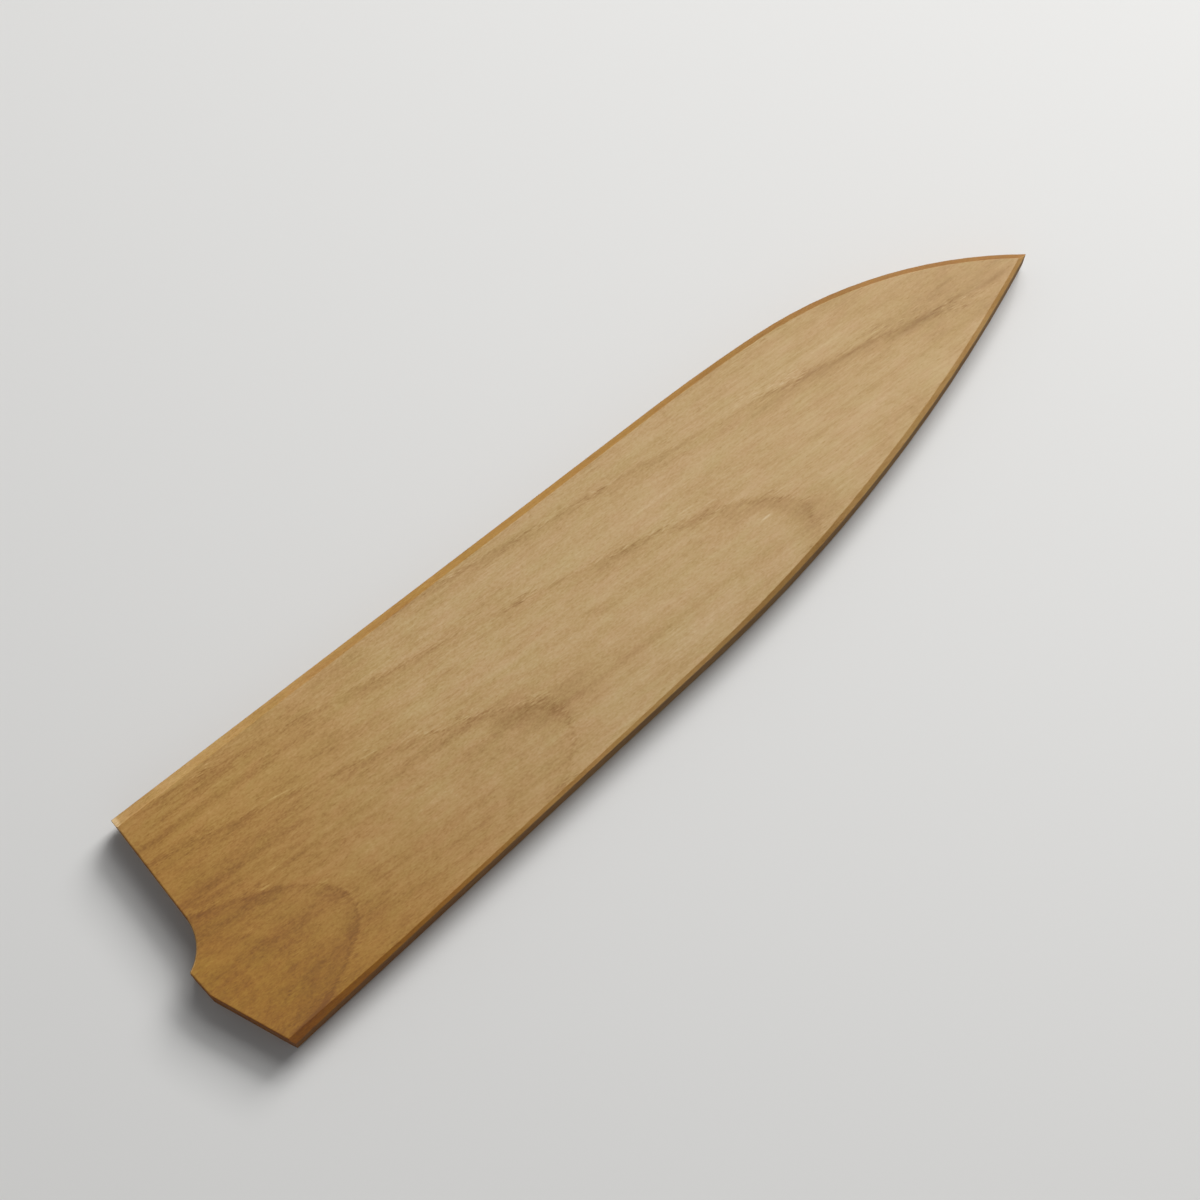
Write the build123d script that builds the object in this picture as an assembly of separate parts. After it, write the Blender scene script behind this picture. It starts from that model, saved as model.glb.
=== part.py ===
from build123d import *
from math import acos, asin, atan2, cos, degrees, radians, sin, sqrt
import os

# Wooden guard for the blade of a chef's knife, in millimetres and degrees.
# It lies on its back board. +X points to the nose, +Y to the spine side and +Z up.
# The origin is the middle of the bounding box's bottom face.

# Outline
overall_length = 230.0
overall_width = 60.0
mouth_setback = 6.2
mouth_straight = 26.0
notch_radius = 10.2
cusp_softening = 0.2
lobe_end_length = 6.4
lobe_end_setback = 0.5
lobe_corner_radius = 1.6
heel_setback = 8.2
shoulder_radius = 380.0
shoulder_length = 26.4
nose_radius = 102.0
tip_drop = 22.3
edge_rise_angle = 5.2
edge_radius = 342.0

# Layers
board_thickness = 3.5
core_thickness = 3.0
spine_strip_width = 5.0
edge_strip_width = 6.0

# Hand-cut facets along the two long rims, each as wide as it is deep
spine_facet_at_mouth = 2.4
spine_facet_at_shoulder = 1.5
spine_facet_at_nose = 1.45
spine_facet_at_tip = 1.2
edge_facet_at_heel = 1.6
edge_facet_past_heel = 0.8
edge_facet_at_bow = 0.85
edge_facet_mid_bow = 1.15
edge_facet_at_tip = 0.8
heel_facet_length = 31.0
facet_spans = 6
facet_overrun = 1.0

# Softened edges of the mouth, outside and inside the slot
mouth_arris = 0.3
slot_lead_in = 0.4

# Disc magnets and their blind seats in the back board's inner face
magnet_diameter = 8.0
magnet_thickness = 2.0
seat_clearance = 0.1
seat_cover = 0.2
magnet_station_shares = {"magnet_heel": 0.16, "magnet_middle": 0.45, "magnet_tip": 0.72}
magnet_height_share = 0.5

# Places that follow from the sizes above
rear_x = -overall_length / 2
nose_x = overall_length / 2
spine_y = overall_width / 2
heel_y = -overall_width / 2
mouth_x = rear_x + mouth_setback
tip = Vector(nose_x, spine_y - tip_drop)
heel = Vector(rear_x + heel_setback, heel_y)
front_board_z = board_thickness + core_thickness
cusp_radius = max(mouth_arris, slot_lead_in) + cusp_softening

# Spine side: a straight line, a slow shoulder arc and the nose arc, each tangent to the next
shoulder_turn = asin(shoulder_length / shoulder_radius)
shoulder_drop = shoulder_radius * (1 - cos(shoulder_turn))
nose_turn = acos(cos(shoulder_turn) - (tip_drop - shoulder_drop) / nose_radius)
nose_start_x = nose_x - nose_radius * (sin(nose_turn) - sin(shoulder_turn))
shoulder_start_x = nose_start_x - shoulder_length
shoulder_centre = Vector(shoulder_start_x, spine_y - shoulder_radius)
shoulder_outward = Vector(sin(shoulder_turn), cos(shoulder_turn))
nose_centre = shoulder_centre + shoulder_outward * (shoulder_radius - nose_radius)
shoulder_deg = degrees(shoulder_turn)
nose_start_deg = 90 - shoulder_deg

# Edge side: a straight line from the heel and a bow tangent to it that ends at the tip
rise = radians(edge_rise_angle)
edge_along = Vector(cos(rise), sin(rise))
edge_inward = Vector(-sin(rise), cos(rise))
tip_along = (tip - heel).dot(edge_along)
tip_above = (tip - heel).dot(edge_inward)
bow_run = sqrt(2 * edge_radius * tip_above - tip_above**2)
bow_start = heel + edge_along * (tip_along - bow_run)
bow_centre = bow_start + edge_inward * edge_radius
bow_deg = degrees(asin(bow_run / edge_radius))
bow_start_deg = edge_rise_angle - 90


def rightmost_crossing(centre_a, radius_a, centre_b, radius_b):
    """The crossing of two circles that has the larger X."""
    across = centre_b - centre_a
    gap = across.length
    along = (gap**2 + radius_a**2 - radius_b**2) / (2 * gap)
    half_chord = sqrt(radius_a**2 - along**2)
    foot = centre_a + across * (along / gap)
    offset = Vector(-across.Y, across.X) * (half_chord / gap)
    return max(foot + offset, foot - offset, key=lambda point: point.X)


def angle_about(centre, point):
    return degrees(atan2(point.Y - centre.Y, point.X - centre.X))


def side_lines(spine_inset, edge_inset, spine_start_x, edge_start):
    """The two long sides, set in from the rims, from the mouth to the tip and back."""
    nose_r = nose_radius - spine_inset
    bow_r = edge_radius - edge_inset
    inner_tip = rightmost_crossing(nose_centre, nose_r, bow_centre, bow_r)
    tip_on_nose = angle_about(nose_centre, inner_tip)
    tip_on_bow = angle_about(bow_centre, inner_tip)
    line_y = spine_y - spine_inset
    bow_point = bow_start + edge_inward * edge_inset
    lines = [
        Line((spine_start_x, line_y), (shoulder_start_x, line_y)),
        CenterArc(shoulder_centre, shoulder_radius - spine_inset, 90, -shoulder_deg),
        CenterArc(nose_centre, nose_r, nose_start_deg, tip_on_nose - nose_start_deg),
        CenterArc(bow_centre, bow_r, tip_on_bow, bow_start_deg - tip_on_bow),
        Line(bow_point, edge_start),
    ]
    return lines, inner_tip


# Mouth: square to the spine, a concave notch, then the lobe over the blade's heel
notch_centre = Vector(mouth_x - notch_radius, spine_y - mouth_straight)
notch_turn = acos((rear_x - notch_centre.X) / notch_radius)
cusp = Vector(rear_x, notch_centre.Y - notch_radius * sin(notch_turn))
lobe_corner = cusp + Vector(lobe_end_setback, -lobe_end_length)
rim_lines, _ = side_lines(0, 0, mouth_x, heel)
mouth_lines = [
    Line(heel, lobe_corner),
    Line(lobe_corner, cusp),
    CenterArc(notch_centre, notch_radius, -degrees(notch_turn), degrees(notch_turn)),
    Line((mouth_x, notch_centre.Y), (mouth_x, spine_y)),
]
outline = make_face(rim_lines + mouth_lines)
corners = outline.vertices()
outline = fillet(corners.sort_by_distance(lobe_corner)[0], lobe_corner_radius)
outline = fillet(outline.vertices().sort_by_distance(cusp)[0], cusp_radius)

# Slot for the blade, open at the mouth
slot_rear_x = rear_x - facet_overrun
slot_edge_point = bow_start + edge_inward * edge_strip_width
slot_edge_start = slot_edge_point + edge_along * ((slot_rear_x - slot_edge_point.X) / cos(rise))
slot_lines, slot_tip = side_lines(spine_strip_width, edge_strip_width, slot_rear_x, slot_edge_start)
slot_end = Line(slot_edge_start, (slot_rear_x, spine_y - spine_strip_width))
slot = make_face(slot_lines + [slot_end])


def facet_section(point, inward, width):
    """The triangle that a facet takes off a board's outer rim, with room to spare outside."""
    reach = width + facet_overrun
    outside = point - inward * facet_overrun
    inside = point + inward * reach
    high = board_thickness + facet_overrun
    low = board_thickness - reach
    return Wire.make_polygon(
        [(outside.X, outside.Y, high), (inside.X, inside.Y, high), (outside.X, outside.Y, low)]
    )


def straight_facet(start, end, inward, width_start, width_end, lead=0):
    """A flat facet that narrows or widens steadily and begins a lead before its start."""
    run = end - start
    slope = (width_end - width_start) / run.length
    first = facet_section(start - run.normalized() * lead, inward, width_start - slope * lead)
    last = facet_section(end, inward, width_end)
    return Solid.make_loft([first, last], ruled=True)


def curved_facet(centre, radius, start_deg, end_deg, width_start, width_end):
    """A facet along an arc of the outline, through evenly spaced sections."""
    sections = []
    for step in range(facet_spans + 1):
        share = step / facet_spans
        angle = radians(start_deg + (end_deg - start_deg) * share)
        outward = Vector(cos(angle), sin(angle))
        width = width_start + (width_end - width_start) * share
        sections.append(facet_section(centre + outward * radius, -outward, width))
    return Solid.make_loft(sections)


def rim_facets():
    """Every facet of one board, ready to be cut away."""
    nose_end_deg = 90 - degrees(nose_turn) - degrees(facet_overrun / nose_radius)
    bow_mid_deg = bow_start_deg + bow_deg / 2
    bow_end_deg = bow_start_deg + bow_deg + degrees(facet_overrun / edge_radius)
    past_heel = heel + edge_along * heel_facet_length
    spine_corner = Vector(mouth_x, spine_y)
    shoulder_start = Vector(shoulder_start_x, spine_y)
    spine_inward = Vector(0, -1)
    return [
        straight_facet(
            spine_corner, shoulder_start, spine_inward,
            spine_facet_at_mouth, spine_facet_at_shoulder, lead=facet_overrun,
        ),
        curved_facet(
            shoulder_centre, shoulder_radius, 90, nose_start_deg,
            spine_facet_at_shoulder, spine_facet_at_nose,
        ),
        curved_facet(
            nose_centre, nose_radius, nose_start_deg, nose_end_deg,
            spine_facet_at_nose, spine_facet_at_tip,
        ),
        straight_facet(
            heel, past_heel, edge_inward,
            edge_facet_at_heel, edge_facet_past_heel, lead=facet_overrun,
        ),
        straight_facet(past_heel, bow_start, edge_inward, edge_facet_past_heel, edge_facet_at_bow),
        curved_facet(
            bow_centre, edge_radius, bow_start_deg, bow_mid_deg,
            edge_facet_at_bow, edge_facet_mid_bow,
        ),
        curved_facet(
            bow_centre, edge_radius, bow_mid_deg, bow_end_deg,
            edge_facet_mid_bow, edge_facet_at_tip,
        ),
    ]


def mouth_edges(solid, height):
    """The edges of the mouth, notch and lobe that lie at one height."""
    level = [edge for edge in solid.edges() if abs(edge.center().Z - height) < mouth_arris / 2]
    return [edge for edge in level if edge.center().X < mouth_x + mouth_setback / 2]


def face_board():
    """One outer board: inner face at height zero, finished outer face at board_thickness."""
    blank = extrude(outline, board_thickness)
    blank = chamfer(mouth_edges(blank, board_thickness), mouth_arris)
    over_slot = blank & extrude(slot, board_thickness)
    over_slot = chamfer(mouth_edges(over_slot, 0), slot_lead_in)
    blank = blank - extrude(slot, board_thickness) + over_slot
    for facet in rim_facets():
        blank -= facet
    return blank


def place_in_slot(along_share, height_share):
    """A point at a share of the slot's length from the mouth and a share of its height there."""
    x = mouth_x + (slot_tip.X - mouth_x) * along_share
    across = Line((x, heel_y), (x, spine_y)) & slot
    return across.edge() @ height_share


def disc(radius, height, place, floor):
    """An upright cylinder that stands on floor."""
    return Pos(place.X, place.Y, floor) * extrude(Circle(radius), height)


# The strips meet on a mitre from the slot's tip to the guard's tip
core_ring = outline - slot
mitre_end = tip + (tip - slot_tip).normalized() * facet_overrun
far_high = spine_y + facet_overrun
spine_half = make_face(
    Polyline(
        (slot_rear_x, slot_tip.Y),
        (slot_tip.X, slot_tip.Y),
        (mitre_end.X, mitre_end.Y),
        (mitre_end.X, far_high),
        (slot_rear_x, far_high),
        close=True,
    )
)

board = face_board()
front_board = Pos(0, 0, front_board_z) * board
back_board = Pos(0, 0, board_thickness) * mirror(board, about=Plane.XY)

pieces = {
    "front_board": front_board,
    "spine_strip": Pos(0, 0, board_thickness) * extrude(core_ring & spine_half, core_thickness),
    "edge_strip": Pos(0, 0, board_thickness) * extrude(core_ring - spine_half, core_thickness),
}

seat_depth = magnet_thickness + seat_cover
seat_floor_z = board_thickness - seat_depth
for name, share in magnet_station_shares.items():
    place = place_in_slot(share, magnet_height_share)
    back_board -= disc(magnet_diameter / 2 + seat_clearance, seat_depth, place, seat_floor_z)
    pieces[name] = disc(magnet_diameter / 2, magnet_thickness, place, seat_floor_z)
pieces["back_board"] = back_board

os.makedirs("parts", exist_ok=True)
for name, solid in pieces.items():
    export_step(solid, f"parts/{name}.step")
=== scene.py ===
"""Looks of the wooden blade guard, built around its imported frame.

The frame gives every shape: two boards, two strips and three magnets. Their meshes stay as they are, and
modifiers round the worn arrises. This script adds the wood and metal materials, a pale floor, soft lamps,
an even dim world and a camera at the photograph's angle.
Lengths are in metres. Only the wood's and the metal's patterns are laid out in millimetres.
"""

import math

import bmesh
import bpy
from mathutils import Matrix, Vector


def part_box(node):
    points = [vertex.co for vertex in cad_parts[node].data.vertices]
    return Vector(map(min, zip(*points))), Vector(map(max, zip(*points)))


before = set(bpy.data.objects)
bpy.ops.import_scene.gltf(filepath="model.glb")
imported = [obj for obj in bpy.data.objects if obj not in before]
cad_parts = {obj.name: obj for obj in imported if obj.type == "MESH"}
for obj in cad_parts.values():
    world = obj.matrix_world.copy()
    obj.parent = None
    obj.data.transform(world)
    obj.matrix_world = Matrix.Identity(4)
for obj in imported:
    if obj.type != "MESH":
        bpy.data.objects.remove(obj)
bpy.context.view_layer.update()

MM = 0.001

# Camera
CAMERA_AIM = Vector((-0.001719, 0.004166, 0.010))
CAMERA_DISTANCE = 0.863
CAMERA_TURN = math.radians(38.065)
CAMERA_TILT = math.radians(12.0)
CAMERA_FIELD = math.radians(16.35)
CAMERA_NEAR = 0.01
CAMERA_FAR = 50


def make_camera():
    """The photograph's view: almost straight down, with the guard's long axis turned up to the right."""
    right = Vector((math.cos(CAMERA_TURN), -math.sin(CAMERA_TURN), 0))
    ahead = Vector((math.sin(CAMERA_TURN), math.cos(CAMERA_TURN), 0))
    high = Vector((0, 0, 1))
    back = high * math.cos(CAMERA_TILT) - ahead * math.sin(CAMERA_TILT)
    up = ahead * math.cos(CAMERA_TILT) + high * math.sin(CAMERA_TILT)
    data = bpy.data.cameras.new("camera")
    data.angle = CAMERA_FIELD
    data.clip_start = CAMERA_NEAR
    data.clip_end = CAMERA_FAR
    camera = bpy.data.objects.new("camera", data)
    turned = Matrix((right, up, back)).transposed().to_4x4()
    camera.matrix_world = Matrix.Translation(CAMERA_AIM + back * CAMERA_DISTANCE) @ turned
    bpy.context.scene.collection.objects.link(camera)
    bpy.context.scene.camera = camera


# Worn arrises
ARRIS_WIDTH = 0.12 * MM
ARRIS_SEGMENTS = 2
ARRIS_ANGLE = math.radians(20)
HARD_ANGLE = math.radians(50)
WELD_GAP = 0.002 * MM
FLAT_ANGLE = math.radians(0.2)
PLANE_SLACK = 0.02 * MM
# The strips fill the room between the two planes in which the boards are glued.
strip_low, strip_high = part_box("spine_strip")
GLUE_PLANES = (strip_low.z, strip_high.z)


def geometry_group(name):
    """An empty group of geometry nodes with its way in and its way out."""
    tree = bpy.data.node_groups.new(name, "GeometryNodeTree")
    for way in ("INPUT", "OUTPUT"):
        tree.interface.new_socket("Geometry", in_out=way, socket_type="NodeSocketGeometry")
    return tree, tree.nodes.new("NodeGroupInput").outputs[0], tree.nodes.new("NodeGroupOutput").inputs[0]


def compared(tree, value, operation, limit):
    """A test that is true where a number compares with the limit as the operation says."""
    test = tree.nodes.new("FunctionNodeCompare")
    test.data_type = "FLOAT"
    test.operation = operation
    test.inputs[1].default_value = limit
    tree.links.new(value, test.inputs[0])
    return test


def joined(tree, operation, first, second):
    """True where both of two tests are true, or either of them, as the operation says."""
    made = tree.nodes.new("FunctionNodeBooleanMath")
    made.operation = operation
    tree.links.new(first, made.inputs[0])
    tree.links.new(second, made.inputs[1])
    return made.outputs[0]


def sharper_than(tree, angle):
    """True on the edges whose two faces meet at more than the angle."""
    found = tree.nodes.new("GeometryNodeInputMeshEdgeAngle")
    return compared(tree, found.outputs["Unsigned Angle"], "GREATER_THAN", angle).outputs[0]


def off_plane(tree, height):
    """True on the edges that have an end above or below the level plane at this height."""
    ends = tree.nodes.new("GeometryNodeInputMeshEdgeVertices")
    tests = []
    for end in ("Position 1", "Position 2"):
        axes = tree.nodes.new("ShaderNodeSeparateXYZ")
        tree.links.new(ends.outputs[end], axes.inputs[0])
        test = compared(tree, axes.outputs["Z"], "NOT_EQUAL", height)
        test.inputs["Epsilon"].default_value = PLANE_SLACK
        tests.append(test.outputs[0])
    return joined(tree, "OR", *tests)


def arris_weight_group():
    """Marks the sharp edges for rounding, but none that lies in a glued plane."""
    tree, way_in, way_out = geometry_group("arris_weights")
    chosen = sharper_than(tree, ARRIS_ANGLE)
    for height in GLUE_PLANES:
        chosen = joined(tree, "AND", chosen, off_plane(tree, height))
    store = tree.nodes.new("GeometryNodeStoreNamedAttribute")
    store.data_type = "FLOAT"
    store.domain = "EDGE"
    store.inputs["Name"].default_value = "bevel_weight_edge"
    tree.links.new(way_in, store.inputs["Geometry"])
    tree.links.new(chosen, store.inputs["Value"])
    tree.links.new(store.outputs[0], way_out)
    return tree


def hard_edge_group():
    """Shades everything smooth but the edges that are still sharp."""
    tree, way_in, way_out = geometry_group("hard_edges")
    mesh = way_in
    for domain, smooth in (("FACE", True), ("EDGE", False)):
        shading = tree.nodes.new("GeometryNodeSetShadeSmooth")
        shading.domain = domain
        shading.inputs["Shade Smooth"].default_value = smooth
        tree.links.new(mesh, shading.inputs["Geometry"])
        mesh = shading.outputs[0]
    tree.links.new(sharper_than(tree, HARD_ANGLE), shading.inputs["Selection"])
    tree.links.new(mesh, way_out)
    return tree


def round_arrises(node, weights, hard):
    """Rounds a node's arrises a little, as handling does, with modifiers only."""
    weld = node.modifiers.new("weld", "WELD")
    weld.merge_threshold = WELD_GAP
    flat = node.modifiers.new("flat_faces", "DECIMATE")
    flat.decimate_type = "DISSOLVE"
    flat.angle_limit = FLAT_ANGLE
    node.modifiers.new("arris_weights", "NODES").node_group = weights
    worn = node.modifiers.new("worn_arrises", "BEVEL")
    worn.width = ARRIS_WIDTH
    worn.segments = ARRIS_SEGMENTS
    worn.limit_method = "WEIGHT"
    worn.use_clamp_overlap = False
    node.modifiers.new("hard_edges", "NODES").node_group = hard
    shading = node.modifiers.new("flat_shading", "WEIGHTED_NORMAL")
    shading.keep_sharp = True


# Shader graph
# A noise moves this far along x, y and z for each 1 of its seed.
SEED_STEPS = (7.31, 3.77, 5.19)
# The colour sockets of a Mix node go by number, because its sockets of other kinds have the same names.
MIX_SHARE = 0
MIX_FIRST = 6
MIX_SECOND = 7
MIX_RESULT = 2


def four_part(colour):
    """A colour with an opacity of 1 put behind it. A socket stays as it is."""
    if isinstance(colour, bpy.types.NodeSocket):
        return colour
    return (*colour, 1)


class Graph:
    """Makes shader nodes and joins them. What a socket is given is a number, a tuple or another socket."""

    def __init__(self, tree):
        self.tree = tree
        tree.nodes.clear()

    def node(self, kind, inputs=None, **settings):
        """A new node with these settings and inputs."""
        made = self.tree.nodes.new(kind)
        for name, value in settings.items():
            setattr(made, name, value)
        for socket, value in (inputs or {}).items():
            if isinstance(value, bpy.types.NodeSocket):
                self.tree.links.new(value, made.inputs[socket])
            else:
                made.inputs[socket].default_value = value
        return made

    def math(self, operation, *values):
        return self.node("ShaderNodeMath", dict(enumerate(values)), operation=operation).outputs[0]

    def chain(self, operation, values):
        """The values joined two by two, from the first to the last."""
        total = values[0]
        for value in values[1:]:
            total = self.math(operation, total, value)
        return total

    def add(self, *values):
        return self.chain("ADD", values)

    def times(self, *values):
        return self.chain("MULTIPLY", values)

    def minus(self, value, taken):
        return self.math("SUBTRACT", value, taken)

    def scaled(self, value, factor, start):
        """The value times the factor, plus the start."""
        return self.math("MULTIPLY_ADD", value, factor, start)

    def kept(self, value, loss):
        """1 where the value is 0, and less by the loss where it is 1."""
        return self.scaled(value, -loss, 1.0)

    def largest(self, *values):
        return self.chain("MAXIMUM", values)

    def size_of(self, value):
        """The value without its sign."""
        return self.math("ABSOLUTE", value)

    def axes(self, point):
        """The x, y and z of a point."""
        return self.node("ShaderNodeSeparateXYZ", {0: point}).outputs

    def point(self, x, y, z):
        return self.node("ShaderNodeCombineXYZ", {0: x, 1: y, 2: z}).outputs[0]

    def place(self):
        """The point on the object, in metres."""
        return self.node("ShaderNodeTexCoord").outputs["Object"]

    def place_mm(self):
        """The point on the object, in millimetres."""
        inputs = {0: self.place(), "Scale": 1 / MM}
        return self.node("ShaderNodeVectorMath", inputs, operation="SCALE").outputs[0]

    def rise(self, value, low, high):
        """0 below low, 1 above high, and a smooth rise between. It falls where low is above high."""
        first, last = (0.0, 1.0) if low < high else (1.0, 0.0)
        inputs = {0: value, 1: min(low, high), 2: max(low, high), 3: first, 4: last}
        return self.node("ShaderNodeMapRange", inputs, interpolation_type="SMOOTHSTEP").outputs[0]

    def patch(self, x, y, middle, half_size, fall=0.0, steepness=1.0):
        """1 in the middle of an oval patch of the plan, fading to 0 well outside it. The fall slants it."""
        from_middle = self.minus(x, middle[0])
        along = self.times(from_middle, 1 / half_size[0])
        across = self.scaled(from_middle, -fall, self.minus(y, middle[1]))
        across = self.times(across, 1 / half_size[1])
        away = self.add(self.times(along, along), self.times(across, across))
        return self.math("EXPONENT", self.times(away, -steepness))

    def noise(self, point, along, across, seed, detail, roughness=0.5):
        """Noise from -1 to 1 whose features are about so long along x, and so wide across it."""
        scale = (1 / along, 1 / across, 1 / across)
        shift = tuple(seed * step for step in SEED_STEPS)
        inputs = {0: point, 1: scale, 2: shift}
        moved = self.node("ShaderNodeVectorMath", inputs, operation="MULTIPLY_ADD").outputs[0]
        inputs = {"Vector": moved, "Scale": 1.0, "Detail": detail, "Roughness": roughness}
        return self.scaled(self.node("ShaderNodeTexNoise", inputs).outputs[0], 2.0, -1.0)

    def ramp(self, value, stops):
        """Colour read from a list of (place, colour) stops."""
        made = self.node("ShaderNodeValToRGB", {0: value})
        band = made.color_ramp
        while len(band.elements) < len(stops):
            band.elements.new(1.0)
        for element, (place, colour) in zip(band.elements, stops):
            element.position = place
            element.color = four_part(colour)
        return made.outputs[0]

    def mix(self, share, first, second, blend="MIX"):
        """The first colour turned into the second by this share, or blended with it in another way."""
        inputs = {MIX_SHARE: share, MIX_FIRST: four_part(first), MIX_SECOND: four_part(second)}
        made = self.node("ShaderNodeMix", inputs, data_type="RGBA", blend_type=blend)
        return made.outputs[MIX_RESULT]

    def tinted(self, share, colour, tint):
        """The colour, multiplied by the tint in this share."""
        return self.mix(share, colour, self.mix(1.0, colour, tint, "MULTIPLY"))

    def mix_shader(self, share, first, second):
        return self.node("ShaderNodeMixShader", {0: share, 1: first, 2: second}).outputs[0]

    def looking(self):
        """1 for the rays that see the backdrop: the camera's and those sent on by gloss, metal or glass."""
        ray = self.node("ShaderNodeLightPath").outputs
        return self.add(ray["Is Camera Ray"], ray["Is Glossy Ray"], ray["Is Transmission Ray"])

    def surface(self, colour, rough, relief, strength, depth, uniform):
        """The finished surface. The relief gives a bump, and the uniform values are the same all over."""
        bump = self.node("ShaderNodeBump", {"Strength": strength, "Distance": depth, "Height": relief})
        inputs = {"Base Color": colour, "Roughness": rough, "Normal": bump.outputs[0], **uniform}
        self.finish(self.node("ShaderNodeBsdfPrincipled", inputs).outputs[0])

    def finish(self, shader, kind="ShaderNodeOutputMaterial"):
        """Joins a shader to the way out."""
        self.node(kind, {0: shader})


def new_material(name):
    material = bpy.data.materials.new(name)
    material.use_nodes = True
    return material


# Wood tones and tints
# Tone runs from 0, the darkest line of late wood, to 1, the palest early wood.
WOOD_TONES = [
    (0.00, (0.221, 0.106, 0.0225)),
    (0.22, (0.281, 0.151, 0.041)),
    (0.50, (0.394, 0.244, 0.090)),
    (0.60, (0.427, 0.276, 0.114)),
    (0.75, (0.464, 0.314, 0.146)),
    (1.00, (0.540, 0.396, 0.226)),
]
GREENER = (0.972, 1.008, 0.945)
PINKER = (1.028, 0.992, 1.055)
# Painted shade: darker and more orange towards the mouth.
PAINTED_MOUTH_SHADE = (0.75, 0.55, 0.14)
MOUTH_GOLDEN = (1.03, 0.98, 0.77)
# Painted shade over the edge's half of the face, from the middle towards the nose.
PAINTED_EDGE_HALF_SHADE = (0.93, 0.93, 0.91)
# Facet tints. At the mouth the spine's is a painted highlight, and at the heel the edge's is painted shade.
SPINE_FACET_MOUTH_HIGHLIGHT = (1.19, 1.13, 1.06)
SPINE_FACET_MIDDLE = (0.97, 0.78, 0.38)
SPINE_FACET_NOSE = (0.70, 0.51, 0.26)
EDGE_FACET_HEEL_SHADE = (0.76, 0.56, 0.08)
EDGE_FACET_MIDDLE = (1.16, 1.01, 0.76)
EDGE_FACET_BELLY = (0.82, 0.66, 0.38)
EDGE_FACET_NOSE = (1.02, 0.90, 0.69)
# A painted highlight: pale, where the spine's facet ends at the mouth.
CORNER_HIGHLIGHT = (0.74, 0.52, 0.26)
# Painted shade on the upright sides and the ends.
PAINTED_SIDE_SHADE = (0.62, 0.51, 0.35)
END_GRAIN = (0.96, 0.88, 0.76)
GLUE_LINE = (0.040, 0.021, 0.009)

# Where changes along the guard start and are complete, in mm along x.
RINGS_CRISP = (-62.0, -82.0)
RINGS_FADED = (88.0, 100.0)
GRAIN_STRAIGHT = (25.0, 65.0)
GRAIN_BROUGHT_OUT = (20.0, -115.0)
SPINE_TO_MOUTH = (-20.0, -105.0)
SPINE_TO_NOSE = (0.0, 90.0)
HEEL_TO_MIDDLE = (-110.0, -8.0)
MIDDLE_TO_BELLY = (-10.0, 28.0)
BELLY_TO_NOSE = (27.0, 60.0)
CORNER_HIGHLIGHT_X = (-107.2, -108.1)
# The same in mm of y for the painted highlight at the corner, of z, of x plus the slant times y for the
# painted shade at the mouth, and of the distance from the nearer glued plane.
CORNER_HIGHLIGHT_Y = (26.2, 27.6)
FRONT_FACE = (7.5, 9.5)
MOUTH_SHADE_SPAN = (-16.0, -126.0)
MOUTH_SHADE_SLANT = 0.90
GLUE_EDGE = (0.14, 0.05)
# The same in how level a surface lies, from 0 to 1, then in how far it faces along x and along y.
FLAT_TO_FACET = (0.99, 0.86)
SIDE_TO_FACET = (0.30, 0.60)
FACET_TO_SIDE = (0.60, 0.25)
CROSSCUT = (0.30, 0.80)
SPINE_SIDE = (-0.15, 0.15)

# Oval patches of the plan: middle and half size in mm.
GRAIN_TURNING = ((-84.0, -10.0), (26.0, 16.0))
MOUTH_GOLDEN_PATCH = ((-92.0, 20.0), (42.0, 20.0))
# The patch of the painted shade on the edge's half.
PAINTED_EDGE_HALF_SHADE_PATCH = ((22.0, -24.0), (48.0, 16.0))

# Wood grain
# Noises: length and width of the features in mm, step of the seed, detail, roughness.
BLOCK_NOISES = {
    "ring_bend": (60, 16, 0.3, 1.0, 0.5),
    "ring_fray": (5.0, 0.5, 0.7, 2.0, 0.5),
    "ring_hatch": (2.4, 0.4, 0.9, 1.0, 0.5),
    "ring_clumps": (11, 3.5, 1.3, 1.0, 0.5),
    "sway": (45, 14, 2.0, 0.0, 0.5),
    "ring_patches": (22, 5, 3.0, 2.0, 0.5),
    "grit": (0.7, 0.34, 6.5, 1.0, 0.5),
    "curl": (2.0, 1.3, 6.6, 2.0, 0.5),
    "mottle": (9, 6, 7.0, 1.0, 0.5),
    "fleck_clusters": (12, 4, 9.5, 1.0, 0.5),
    "dots": (2.5, 0.24, 10.0, 1.0, 0.5),
    "drift": (8.0, 3.0, 11.0, 3.0, 0.6),
}
# These follow the fibres, which sway and run slightly across the board.
FIBRE_NOISES = {
    "broad": (70, 2.6, 4.0, 2.0, 0.5),
    "fibre": (14, 0.8, 5.0, 2.0, 0.6),
    "fine": (3.6, 0.32, 6.0, 2.0, 0.6),
    "dashes": (1.6, 0.14, 8.0, 1.0, 0.5),
}
SWAY_MM = 0.6
FIBRE_SLOPE = 0.035
# These follow the rings, at this much of x, the ring's radius and z, and the slant of the flecks.
RINGWISE_NOISE = (1, 1, 6.8, 2.0, 0.5)
RINGWISE_SCALE = (0.12, 3.2, 0.2)
GLEAM_NOISE = (1.7, 0.30, 9.0, 1.0, 0.5)
GLEAM_SLOPE = 0.13
# Where these noises start to show and show in full. Dashes are pores cut along, dots are pores cut across.
PORES = (0.30, 0.52)
PORE_ENDS = (0.08, 0.40)
FLECKS = (0.12, 0.42)
FLECK_CLUSTERS = (-0.05, 0.25)

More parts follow.
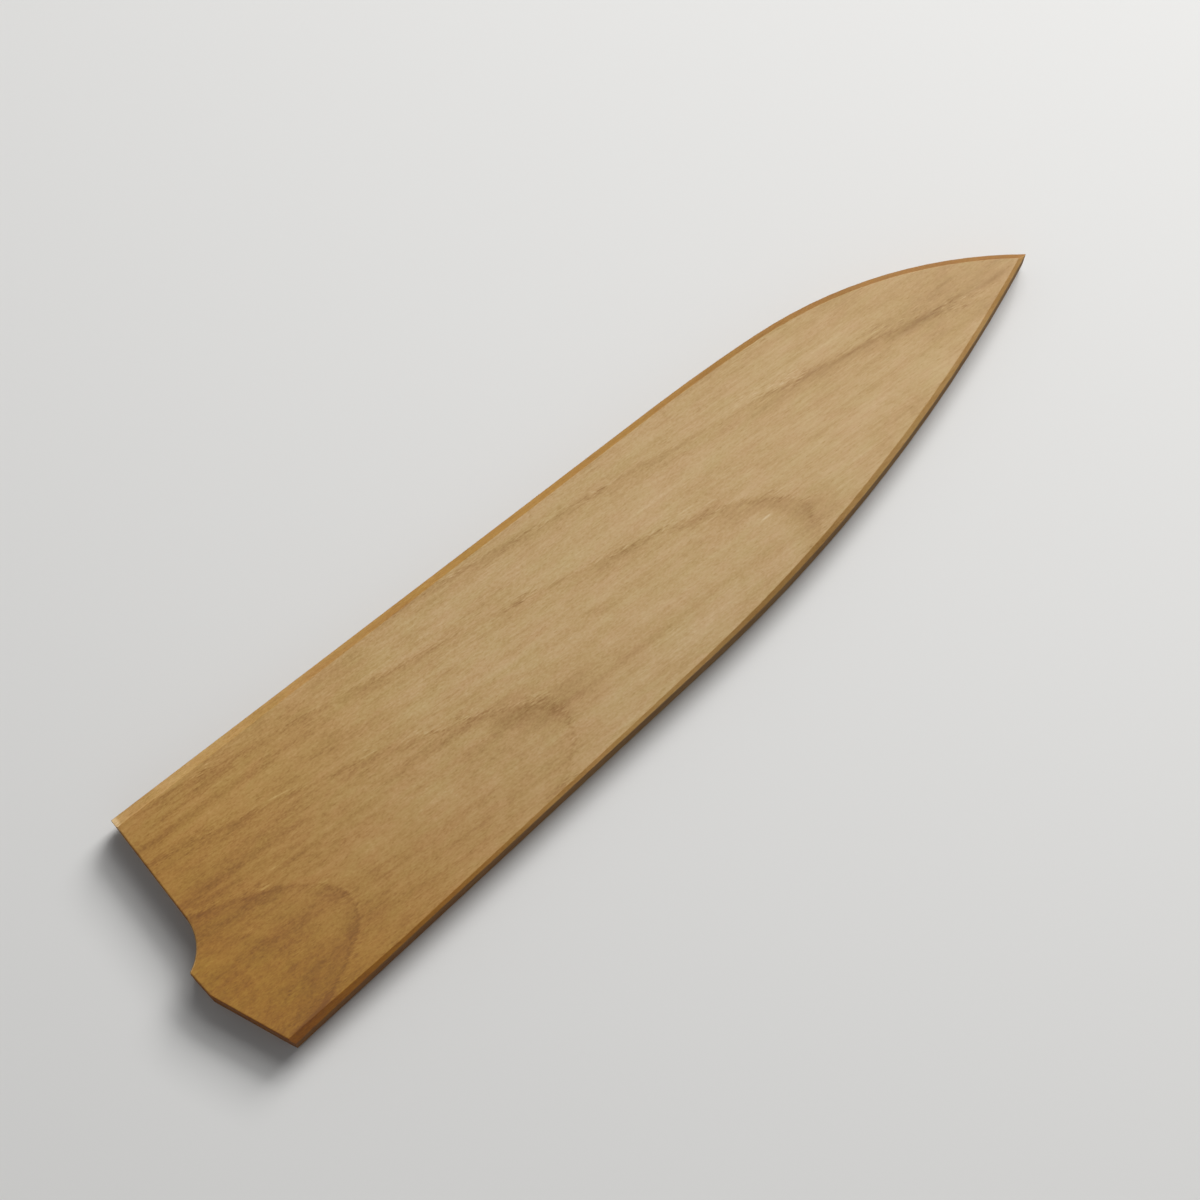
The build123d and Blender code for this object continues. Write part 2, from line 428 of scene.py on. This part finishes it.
# How far each layer moves the tone: all over, and besides where the grain runs straight, where it turns in
# the arch at the mouth, on the sides and on the cut ends.
GRAIN_TONES = {
    "broad": 0.20,
    "fibre": 0.17,
    "fine": 0.17,
    "grit": 0.25,
    "curl": 0.05,
    "ringwise": 0.16,
    "mottle": 0.12,
    "pores": -0.22,
}
STRAIGHT_TONES = {"fibre": 0.05, "fine": 0.06, "grit": -0.10}
TURNING_TONES = {"curl": 0.14}
SIDE_TONES = {"fibre": 0.22, "broad": 0.25, "fine": 0.12}
END_TONES = {"rings": -1.2, "pore_ends": -0.42, "mottle": 0.20}
FLECK_TONE = 0.23
# Oil has brought the grain out more towards the mouth, where the guard is held.
LEAST_GRAIN = 0.76
OILED_GRAIN = 0.38
# The face's marks are torn by the grain, and the hue drifts from greener to pinker.
TORN = {"fibre": 1.3, "fine": 0.7}
DRIFT_DEPTH = 0.9
DRIFT_MEAN = 0.5
# Where the fine grain starts to show the painted highlight at the corner and shows it in full,
# and how much the glue shows.
CORNER_HIGHLIGHT_BREAKUP = (-0.45, 0.05)
GLUE_SHARE = 0.75

ROUGHNESS = 0.50
ROUGHNESS_CHANGES = {"fine": 0.08, "fibre": 0.05, "rings": 0.10, "pores": 0.14}
SIDE_ROUGHNESS = 0.35
RELIEF = {"fibre": 0.4, "fine": 0.5, "pores": -1.6, "rings": 0.5}
RELIEF_STRENGTH = 0.35
RELIEF_DEPTH = 0.06 * MM
WOOD_IOR = 1.5
WOOD_SPECULAR = 0.38

# Growth rings
# Each ring: radius, depth and width in mm of the slow darkening, depth of the dark line. A ring's radius is
# the distance from the pith plus the taper for each mm of x, so the flat face cuts each ring in an arch.
# The pith's line gives its y at the middle of the guard, its slope and its curve.
FRONT_BOARD = {
    "mean_tone": 0.60,
    "pith_height_mm": -35.0,
    "pith_line": (-10.58, 0.0584, 0.000266),
    "taper": 0.1114,
    "rings": [
        (23.6, 0.10, 6.0, 0.08),
        (29.6, 0.10, 6.0, 0.08),
        (34.3, 0.06, 5.0, 0.03),
        (36.12, 0.15, 8.0, 0.14),
        (42.57, 0.12, 6.0, 0.10),
        (49.92, 0.13, 5.0, 0.05),
        (56.65, 0.09, 4.0, 0.10),
        (62.9, 0.09, 5.0, 0.12),
    ],
    "seed": 1.0,
}
BACK_BOARD = {
    "mean_tone": 0.63,
    "pith_height_mm": 47.0,
    "pith_line": (6.0, -0.03, 0.0002),
    "taper": 0.095,
    "rings": [
        (27.9, 0.10, 5.5, 0.17),
        (33.5, 0.12, 5.5, 0.20),
        (38.4, 0.14, 5.5, 0.22),
        (44.0, 0.12, 5.5, 0.20),
        (50.6, 0.13, 5.5, 0.21),
        (56.2, 0.11, 5.5, 0.18),
        (61.9, 0.10, 5.5, 0.17),
    ],
    "seed": 5.0,
}
STRIPS = {
    "mean_tone": 0.50,
    "pith_height_mm": -62.0,
    "pith_line": (24.0, 0.02, 0.0),
    "taper": 0.05,
    "rings": [
        (59.0, 0.09, 3.0, 0.15),
        (63.5, 0.11, 3.0, 0.19),
        (68.4, 0.11, 3.0, 0.19),
        (73.0, 0.11, 3.0, 0.19),
        (78.6, 0.10, 3.0, 0.17),
        (84.0, 0.11, 3.0, 0.19),
        (90.0, 0.10, 3.0, 0.17),
    ],
    "seed": 9.0,
}
# How far noise moves a ring: its long bends, its frayed edge, and the fine hatch across the fibres.
RING_BEND_MM = 0.35
RING_FRAY_MM = 0.34
RING_HATCH_MM = 1.1
# The dark line comes and goes in clumps, and is crisper towards the mouth.
CLUMPS = (-0.35, 0.30)
LEAST_CLUMP = 0.35
CRISP_CLUMP = 0.6
CRISP_FRAY_LOSS = 0.6
CRISP_HATCH_LOSS = 0.4
# In mm outwards from a ring's line: the slow darkening's end, the dark line, its end, the flecks' strip.
SLOW_END = 0.4
DARK_LINE = (-1.0, 0.1)
LINE_END = (0.95, -0.05)
STRIP_START = (-1.6, 0.2)
STRIP_END = (4.0, 0.8)
# The rings fade in patches, on the facets and at the nose.
PATCH_DEPTH = 0.8
PATCH_MEAN = 0.95
LEAST_PATCH = 0.2
FACET_RING_LOSS = 0.6
NOSE_RING_LOSS = 0.75

# Marks of the photographed face
# They run with the fibres. Each: x, y, half length and half width in mm, fall per mm, and how dark it is.
DARK_STREAKS = [
    (-96.0, 20.4, 20.0, 0.9, -0.02, 0.14),
    (-100.0, 17.0, 9.0, 0.9, -0.12, 0.12),
    (-96.0, 5.9, 19.0, 1.1, -0.03, 0.30),
    (-98.0, 4.0, 12.0, 0.7, -0.06, 0.20),
    (-84.0, 0.3, 17.0, 0.6, -0.03, 0.22),
    (-108.0, -11.6, 8.0, 0.5, -0.02, 0.12),
    (-104.0, -14.8, 9.0, 0.6, -0.02, 0.16),
    (-92.0, -20.2, 8.0, 0.5, 0.06, 0.10),
    (-52.0, -13.6, 14.0, 0.6, -0.02, 0.07),
    (-24.0, -8.4, 7.0, 1.4, -0.04, 0.07),
    (-8.0, -11.8, 16.0, 0.4, -0.04, 0.10),
    (-6.0, -8.8, 15.0, 0.8, -0.02, 0.10),
    (-8.0, 25.6, 10.0, 0.5, -0.06, 0.10),
    (28.0, 5.4, 10.0, 0.6, -0.04, 0.08),
    (70.0, 13.6, 9.0, 0.5, -0.08, 0.16),
    (90.0, 9.6, 13.0, 0.9, -0.10, 0.18),
    (97.0, 13.2, 4.0, 0.5, 0.0, 0.10),
    (107.0, 7.6, 5.0, 0.8, -0.06, 0.16),
]
# The dark inner line of the edge's cut at the heel.
HEEL_CUT_LINE = [(-101.0, -27.8, 7.0, 0.45, 0.091, 0.40)]
# Below zero a mark is paler than the wood round it.
SOFT_SHADES = [
    # The first, broad one is painted shade over the mouth end.
    (-108.0, -8.0, 34.0, 24.0, 0.0, 0.05),
    (-106.0, 1.0, 5.0, 4.0, 0.0, 0.15),
    (-100.0, -22.0, 14.0, 7.0, 0.05, 0.12),
    (-96.0, -13.0, 7.0, 4.5, 0.0, 0.08),
    (-94.0, 26.4, 11.0, 2.0, -0.12, -0.07),
    (-65.0, 18.0, 11.0, 6.0, -0.10, 0.10),
    (-50.0, 25.0, 12.0, 3.5, -0.05, 0.06),
    (-32.0, -3.2, 8.0, 2.8, -0.16, 0.11),
    (-22.0, -7.0, 17.0, 8.0, -0.05, 0.13),
    (6.0, -12.5, 12.0, 4.0, 0.0, -0.08),
    (39.0, -1.2, 4.0, 3.2, -0.30, 0.10),
    (44.0, -8.0, 5.0, 2.6, -0.10, 0.08),
    (44.0, -8.0, 8.0, 5.0, -0.10, 0.10),
    (77.0, -3.0, 5.0, 3.5, 0.3, 0.07),
    (80.0, 20.0, 10.0, 4.0, -0.25, 0.07),
    (98.0, 10.0, 14.0, 8.0, -0.20, 0.16),
]
PALE_NICKS = [
    (-104.0, 17.9, 2.2, 0.16, -0.12, -0.18),
    (-92.6, -0.9, 1.2, 0.20, -0.10, -0.70),
    (-88.6, 14.4, 1.8, 0.16, -0.12, -0.18),
    (-88.4, 1.2, 1.0, 0.14, -0.10, -0.30),
    (-79.8, 12.8, 2.4, 0.18, -0.16, -0.24),
    (-76.6, 12.2, 1.6, 0.16, -0.14, -0.22),
    (-73.4, 10.7, 2.2, 0.16, -0.16, -0.20),
    (-28.6, -19.6, 1.8, 0.16, 0.08, -0.20),
    (-24.0, -15.4, 1.6, 0.16, 0.06, -0.20),
    (24.6, 8.2, 1.8, 0.16, -0.10, -0.20),
    (29.0, 6.4, 2.0, 0.16, -0.12, -0.20),
    (36.4, -3.3, 1.1, 0.20, 0.0, -0.80),
    (43.4, 4.6, 2.6, 0.18, -0.06, -0.18),
]
FACE_MARKS = DARK_STREAKS + HEEL_CUT_LINE + SOFT_SHADES + PALE_NICKS
MARK_STEEPNESS = 1.2


class Wood(Graph):
    """Oiled wood cut from one solid block. Each layer of its grain is a noise or mask, kept by name."""

    def __init__(self, tree, plan):
        super().__init__(tree)
        self.plan = plan
        self.block = self.place_mm()
        self.x, self.y, self.z = self.axes(self.block)
        self.make_masks()
        self.layers = {name: self.own_noise(self.block, sizes) for name, sizes in BLOCK_NOISES.items()}
        swayed = self.scaled(self.layers["sway"], SWAY_MM, self.scaled(self.x, FIBRE_SLOPE, self.y))
        fibres = self.point(self.x, swayed, self.z)
        for name, sizes in FIBRE_NOISES.items():
            self.layers[name] = self.own_noise(fibres, sizes)
        self.layers["pores"] = self.rise(self.layers["dashes"], *PORES)
        self.layers["pore_ends"] = self.rise(self.layers["dots"], *PORE_ENDS)
        self.make_rings()
        self.brought_out = self.scaled(self.rise(self.x, *GRAIN_BROUGHT_OUT), OILED_GRAIN, LEAST_GRAIN)

    def own_noise(self, place, sizes):
        """One of the noises above, with this plan's seed."""
        along, across, step, detail, roughness = sizes
        return self.noise(place, along, across, self.plan["seed"] + step, detail, roughness)

    def weighted(self, weights):
        """The sum of the named layers, each times its weight."""
        return self.add(*(self.times(self.layers[name], weight) for name, weight in weights.items()))

    def make_masks(self):
        """Finds the cut facets, the upright sides, the crosscut ends and what faces the spine's side."""
        normal = self.axes(self.node("ShaderNodeNewGeometry").outputs["Normal"])
        level = self.size_of(normal["Z"])
        self.facet = self.times(self.rise(level, *FLAT_TO_FACET), self.rise(level, *SIDE_TO_FACET))
        self.side = self.rise(level, *FACET_TO_SIDE)
        self.crosscut = self.rise(self.size_of(normal["X"]), *CROSSCUT)
        self.spine_side = self.rise(normal["Y"], *SPINE_SIDE)

    def ring_place(self, crisp):
        """How far a point lies along its ring's radius, and how fast that grows across the flat face."""
        taper = self.plan["taper"]
        base, slope, curve = self.plan["pith_line"]
        hatch = self.times(self.layers["ring_hatch"], self.kept(crisp, CRISP_HATCH_LOSS))
        fray = self.times(self.layers["ring_fray"], self.kept(crisp, CRISP_FRAY_LOSS))
        pith = self.scaled(self.scaled(self.x, curve, slope), self.x, base)
        across = self.scaled(hatch, RING_HATCH_MM, self.minus(self.y, pith))
        above = self.minus(self.z, self.plan["pith_height_mm"])
        radius = self.math("SQRT", self.add(self.times(across, across), self.times(above, above)))
        # A ring is as much wider on the flat face than on a cut end as the radius grows more slowly there.
        lean = self.math("DIVIDE", across, radius)
        growth = self.math("SQRT", self.scaled(lean, lean, taper * taper))
        bends = self.times(self.layers["ring_bend"], RING_BEND_MM)
        return self.add(self.scaled(self.x, taper, radius), bends, self.times(fray, RING_FRAY_MM)), growth

    def make_rings(self):
        """Growth rings, which each darken slowly outwards and end at once, and the flecks beside them."""
        crisp = self.rise(self.x, *RINGS_CRISP)
        clumps = self.scaled(self.rise(self.layers["ring_clumps"], *CLUMPS), 1.0 - LEAST_CLUMP, LEAST_CLUMP)
        clumps = self.largest(clumps, self.times(crisp, CRISP_CLUMP))
        radius, growth = self.ring_place(crisp)
        depth = 0.0
        strip = 0.0
        for ring, shade, width, line in self.plan["rings"]:
            away = self.math("DIVIDE", self.minus(radius, ring), growth)
            slow = self.times(self.rise(away, -width, SLOW_END), shade)
            late = self.scaled(self.times(self.rise(away, *DARK_LINE), clumps), line, slow)
            depth = self.scaled(late, self.rise(away, *LINE_END), depth)
            strip = self.scaled(self.rise(away, *STRIP_START), self.rise(away, *STRIP_END), strip)
        patches = self.scaled(self.layers["ring_patches"], PATCH_DEPTH, PATCH_MEAN)
        patches = self.largest(patches, LEAST_PATCH)
        on_facet = self.kept(self.facet, FACET_RING_LOSS)
        at_nose = self.kept(self.rise(self.x, *RINGS_FADED), NOSE_RING_LOSS)
        self.layers["rings"] = self.times(depth, patches, on_facet, at_nose)
        ringwise = [self.times(*pair) for pair in zip((self.x, radius, self.z), RINGWISE_SCALE)]
        self.layers["ringwise"] = self.own_noise(self.point(*ringwise), RINGWISE_NOISE)
        self.flecks = self.make_flecks(strip)

    def make_flecks(self, strip):
        """Short pale and dark flecks, in clusters in the strip beside each ring."""
        slant = self.point(self.x, self.scaled(self.x, GLEAM_SLOPE, self.y), self.z)
        gleam = self.own_noise(slant, GLEAM_NOISE)
        low, high = FLECKS
        pale_or_dark = self.minus(self.rise(gleam, low, high), self.rise(gleam, -low, -high))
        return self.times(pale_or_dark, strip, self.rise(self.layers["fleck_clusters"], *FLECK_CLUSTERS))

    def marks(self):
        """The streaks, shades and nicks of the photographed face, torn by the fibres."""
        total = 0.0
        for x, y, half_length, half_width, fall, depth in FACE_MARKS:
            half_size = (half_length, half_width)
            mark = self.patch(self.x, self.y, (x, y), half_size, fall, MARK_STEEPNESS)
            total = self.scaled(mark, depth, total)
        torn = self.largest(self.add(1.0, self.weighted(TORN)), 0.0)
        return self.times(total, self.rise(self.z, *FRONT_FACE), torn)

    def tone(self, marked):
        """How pale the wood is, from 0 to 1."""
        straight = self.rise(self.x, *GRAIN_STRAIGHT)
        turning = self.patch(self.x, self.y, *GRAIN_TURNING)
        grain = self.add(
            self.weighted(GRAIN_TONES),
            self.times(straight, self.weighted(STRAIGHT_TONES)),
            self.times(turning, self.weighted(TURNING_TONES)),
        )
        tone = self.add(
            self.minus(self.plan["mean_tone"], self.layers["rings"]),
            self.times(grain, self.brought_out),
            self.times(self.flecks, FLECK_TONE),
            self.times(self.side, self.weighted(SIDE_TONES)),
            self.times(self.crosscut, self.weighted(END_TONES)),
        )
        return self.minus(tone, self.marks()) if marked else tone

    def facet_tint(self):
        """The facets' tint along the spine and the edge, with a painted highlight and painted shade at the
        mouth end.
        """
        spine = self.mix(self.rise(self.x, *SPINE_TO_MOUTH), SPINE_FACET_MIDDLE, SPINE_FACET_MOUTH_HIGHLIGHT)
        spine = self.mix(self.rise(self.x, *SPINE_TO_NOSE), spine, SPINE_FACET_NOSE)
        edge = self.mix(self.rise(self.x, *HEEL_TO_MIDDLE), EDGE_FACET_HEEL_SHADE, EDGE_FACET_MIDDLE)
        edge = self.mix(self.rise(self.x, *MIDDLE_TO_BELLY), edge, EDGE_FACET_BELLY)
        edge = self.mix(self.rise(self.x, *BELLY_TO_NOSE), edge, EDGE_FACET_NOSE)
        return self.mix(self.spine_side, edge, spine)

    def toned_and_shaded(self, colour):
        """The colour with a drifting hue, a golden patch at the mouth, and painted shade at the mouth and
        edge's half.
        """
        drift = self.scaled(self.times(self.layers["drift"], self.brought_out), DRIFT_DEPTH, DRIFT_MEAN)
        drift = self.rise(drift, 0.0, 1.0)
        colour = self.mix(1.0, colour, self.mix(drift, GREENER, PINKER), "MULTIPLY")
        # Painted shade towards the mouth, left off the spine's facet.
        mouth_shade = self.rise(self.scaled(self.y, MOUTH_SHADE_SLANT, self.x), *MOUTH_SHADE_SPAN)
        mouth_shade = self.times(mouth_shade, self.kept(self.times(self.facet, self.spine_side), 1.0))
        colour = self.tinted(mouth_shade, colour, PAINTED_MOUTH_SHADE)
        colour = self.tinted(self.patch(self.x, self.y, *MOUTH_GOLDEN_PATCH), colour, MOUTH_GOLDEN)
        # Painted shade over the edge's half of the face.
        return self.tinted(self.patch(self.x, self.y, *PAINTED_EDGE_HALF_SHADE_PATCH), colour, PAINTED_EDGE_HALF_SHADE)

    def cut(self, colour):
        """The colour with the facets, a painted corner highlight, the end grain, painted side shade and the
        glue lines.
        """
        colour = self.tinted(self.facet, colour, self.facet_tint())
        # A painted highlight where the spine's facet ends at the mouth, broken up by the fine grain.
        corner = self.times(self.rise(self.x, *CORNER_HIGHLIGHT_X), self.rise(self.y, *CORNER_HIGHLIGHT_Y), self.facet)
        corner = self.times(corner, self.rise(self.layers["fine"], *CORNER_HIGHLIGHT_BREAKUP))
        colour = self.mix(corner, colour, CORNER_HIGHLIGHT)
        colour = self.tinted(self.crosscut, colour, END_GRAIN)
        # Painted shade on the upright sides and ends.
        colour = self.tinted(self.side, colour, PAINTED_SIDE_SHADE)
        low, high = (height / MM for height in GLUE_PLANES)
        from_middle = self.size_of(self.minus(self.z, (low + high) / 2))
        from_plane = self.size_of(self.minus(from_middle, (high - low) / 2))
        glue = self.times(self.rise(from_plane, *GLUE_EDGE), self.side, GLUE_SHARE)
        return self.mix(glue, colour, GLUE_LINE)

    def roughness(self):
        rough = self.add(ROUGHNESS, self.weighted(ROUGHNESS_CHANGES))
        return self.scaled(self.side, SIDE_ROUGHNESS, rough)


def wood_material(name, plan, marked=False):
    """Oiled wood by one board's plan, with or without the marks of the photographed face."""
    material = new_material(name)
    wood = Wood(material.node_tree, plan)
    colour = wood.cut(wood.toned_and_shaded(wood.ramp(wood.tone(marked), WOOD_TONES)))
    uniform = {"IOR": WOOD_IOR, "Specular IOR Level": WOOD_SPECULAR}
    wood.surface(colour, wood.roughness(), wood.weighted(RELIEF), RELIEF_STRENGTH, RELIEF_DEPTH, uniform)
    return material


# Nickel
NICKEL_TONES = [(0.2, (0.50, 0.48, 0.44)), (0.8, (0.70, 0.68, 0.64))]
# Noises: length and width of the features in mm, seed, detail.
NICKEL_CLOUDS = (2.2, 2.2, 21.0, 3.0)
NICKEL_SCRATCHES = (3.0, 0.05, 22.0, 2.0)
NICKEL_ROUGHNESS = 0.30
CLOUD_ROUGHNESS = 0.08
SCRATCH_ROUGHNESS = 0.10
SCRATCH_STRENGTH = 0.3
SCRATCH_DEPTH = 0.01 * MM


def nickel_material(name):
    """Plated magnet: bright, finely scratched, with a slightly dulled face."""
    material = new_material(name)
    g = Graph(material.node_tree)
    place = g.place_mm()
    clouds = g.noise(place, *NICKEL_CLOUDS)
    scratches = g.noise(place, *NICKEL_SCRATCHES)
    colour = g.ramp(g.scaled(clouds, 0.5, 0.5), NICKEL_TONES)
    rough = g.add(NICKEL_ROUGHNESS, g.times(clouds, CLOUD_ROUGHNESS), g.times(scratches, SCRATCH_ROUGHNESS))
    g.surface(colour, rough, scratches, SCRATCH_STRENGTH, SCRATCH_DEPTH, {"Metallic": 1.0})
    return material


# Floor
BACKDROP = (0.80, 0.80, 0.79)
# The floor's colour where it is seen, and a darker one for the light that it throws on the guard's sides.
FLOOR_SEEN = (0.70, 0.695, 0.68)
FLOOR_BOUNCE = (0.24, 0.235, 0.23)
FLOOR_SPECULAR = 0.1
FLOOR_RADIUS = 6.0
FLOOR_SIDES = 96
FLOOR_DROP = 0.1 * MM
# The floor turns into the backdrop between these two distances.
FADE = (0.19, 0.40)
# The floor lets light through to a surface that is no further from it than this.
TOUCHING = 0.5 * MM


def floor_material():
    """Pale and matt, running out into the backdrop's colour well away from the guard.

    It is clear to a camera below it, and to the light that the touching underside gets.
    """
    material = new_material("floor_pale")
    g = Graph(material.node_tree)
    ray = g.node("ShaderNodeLightPath").outputs
    seen = g.looking()
    colour = g.mix(seen, FLOOR_BOUNCE, FLOOR_SEEN)
    inputs = {"Base Color": colour, "Roughness": 1.0, "Specular IOR Level": FLOOR_SPECULAR}
    matt = g.node("ShaderNodeBsdfPrincipled", inputs).outputs[0]
    backdrop = g.node("ShaderNodeEmission", {"Color": four_part(BACKDROP), "Strength": 1.0}).outputs[0]
    away = g.node("ShaderNodeVectorMath", {0: g.place()}, operation="LENGTH").outputs["Value"]
    pale = g.mix_shader(g.times(g.rise(away, *FADE), seen), matt, backdrop)
    below = g.node("ShaderNodeNewGeometry").outputs["Backfacing"]
    touching = g.math("LESS_THAN", ray["Ray Length"], TOUCHING)
    lit = g.times(g.add(ray["Is Diffuse Ray"], ray["Is Shadow Ray"]), touching)
    clear = g.node("ShaderNodeBsdfTransparent").outputs[0]
    g.finish(g.mix_shader(g.largest(g.times(seen, below), lit), pale, clear))
    return material


def make_floor():
    """A wide floor just under the guard."""
    mesh = bpy.data.meshes.new("floor")
    shape = bmesh.new()
    bmesh.ops.create_circle(shape, cap_ends=True, radius=FLOOR_RADIUS, segments=FLOOR_SIDES)
    shape.to_mesh(mesh)
    shape.free()
    floor = bpy.data.objects.new("floor", mesh)
    floor.location = (0, 0, -FLOOR_DROP)
    bpy.context.scene.collection.objects.link(floor)
    mesh.materials.append(floor_material())


# Lamps and world
# Name, place, the point that it faces, side and power in watts of each lamp.
LAMPS = [
    ("key", (0.92, 0.33, 0.87), (0.02, 0, 0), 0.60, 12.3),
    ("overhead", (0.48, 0.28, 0.94), (0.08, 0.02, 0), 0.60, 5.0),
]
WORLD_LIGHT = (0.97, 0.98, 1.0)
WORLD_STRENGTH = 0.212
# Below the horizon, which only the underside sees, the world is brighter by this much.
UNDER_STRENGTH = 0.36
BELOW_HORIZON = (0.0, -0.1)


def make_lamp(name, place, aim, size, power):
    """A square soft box at place, facing aim."""
    data = bpy.data.lights.new(name, "AREA")
    data.shape = "SQUARE"
    data.size = size
    data.energy = power
    lamp = bpy.data.objects.new(name, data)
    lamp.location = place
    lamp.rotation_mode = "QUATERNION"
    lamp.rotation_quaternion = (Vector(aim) - Vector(place)).to_track_quat("-Z", "Y")
    bpy.context.scene.collection.objects.link(lamp)


def make_world():
    """An even, dim grey light all round, and a pale backdrop where the camera sees past the floor."""
    world = bpy.data.worlds.new("studio")
    world.use_nodes = True
    g = Graph(world.node_tree)
    height = g.axes(g.node("ShaderNodeTexCoord").outputs["Generated"])["Z"]
    strength = g.scaled(g.rise(height, *BELOW_HORIZON), UNDER_STRENGTH, WORLD_STRENGTH)
    light = g.node("ShaderNodeBackground", {"Color": four_part(WORLD_LIGHT), "Strength": strength})
    shown = g.node("ShaderNodeBackground", {"Color": four_part(BACKDROP), "Strength": 1.0})
    both = g.mix_shader(g.looking(), light.outputs[0], shown.outputs[0])
    g.finish(both, "ShaderNodeOutputWorld")
    bpy.context.scene.world = world


# The scene
make_camera()
make_floor()
make_world()
for lamp in LAMPS:
    make_lamp(*lamp)

strip_wood = wood_material("strip_wood", STRIPS)
nickel = nickel_material("magnet_nickel")
NODE_MATERIALS = {
    "front_board": wood_material("front_board_wood", FRONT_BOARD, marked=True),
    "back_board": wood_material("back_board_wood", BACK_BOARD),
    "spine_strip": strip_wood,
    "edge_strip": strip_wood,
    "magnet_heel": nickel,
    "magnet_middle": nickel,
    "magnet_tip": nickel,
}
arris_weights = arris_weight_group()
hard_edges = hard_edge_group()
for name, material in NODE_MATERIALS.items():
    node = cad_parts[name]
    node.data.materials.clear()
    node.data.materials.append(material)
    round_arrises(node, arris_weights, hard_edges)

bpy.context.scene.view_settings.view_transform = "Standard"
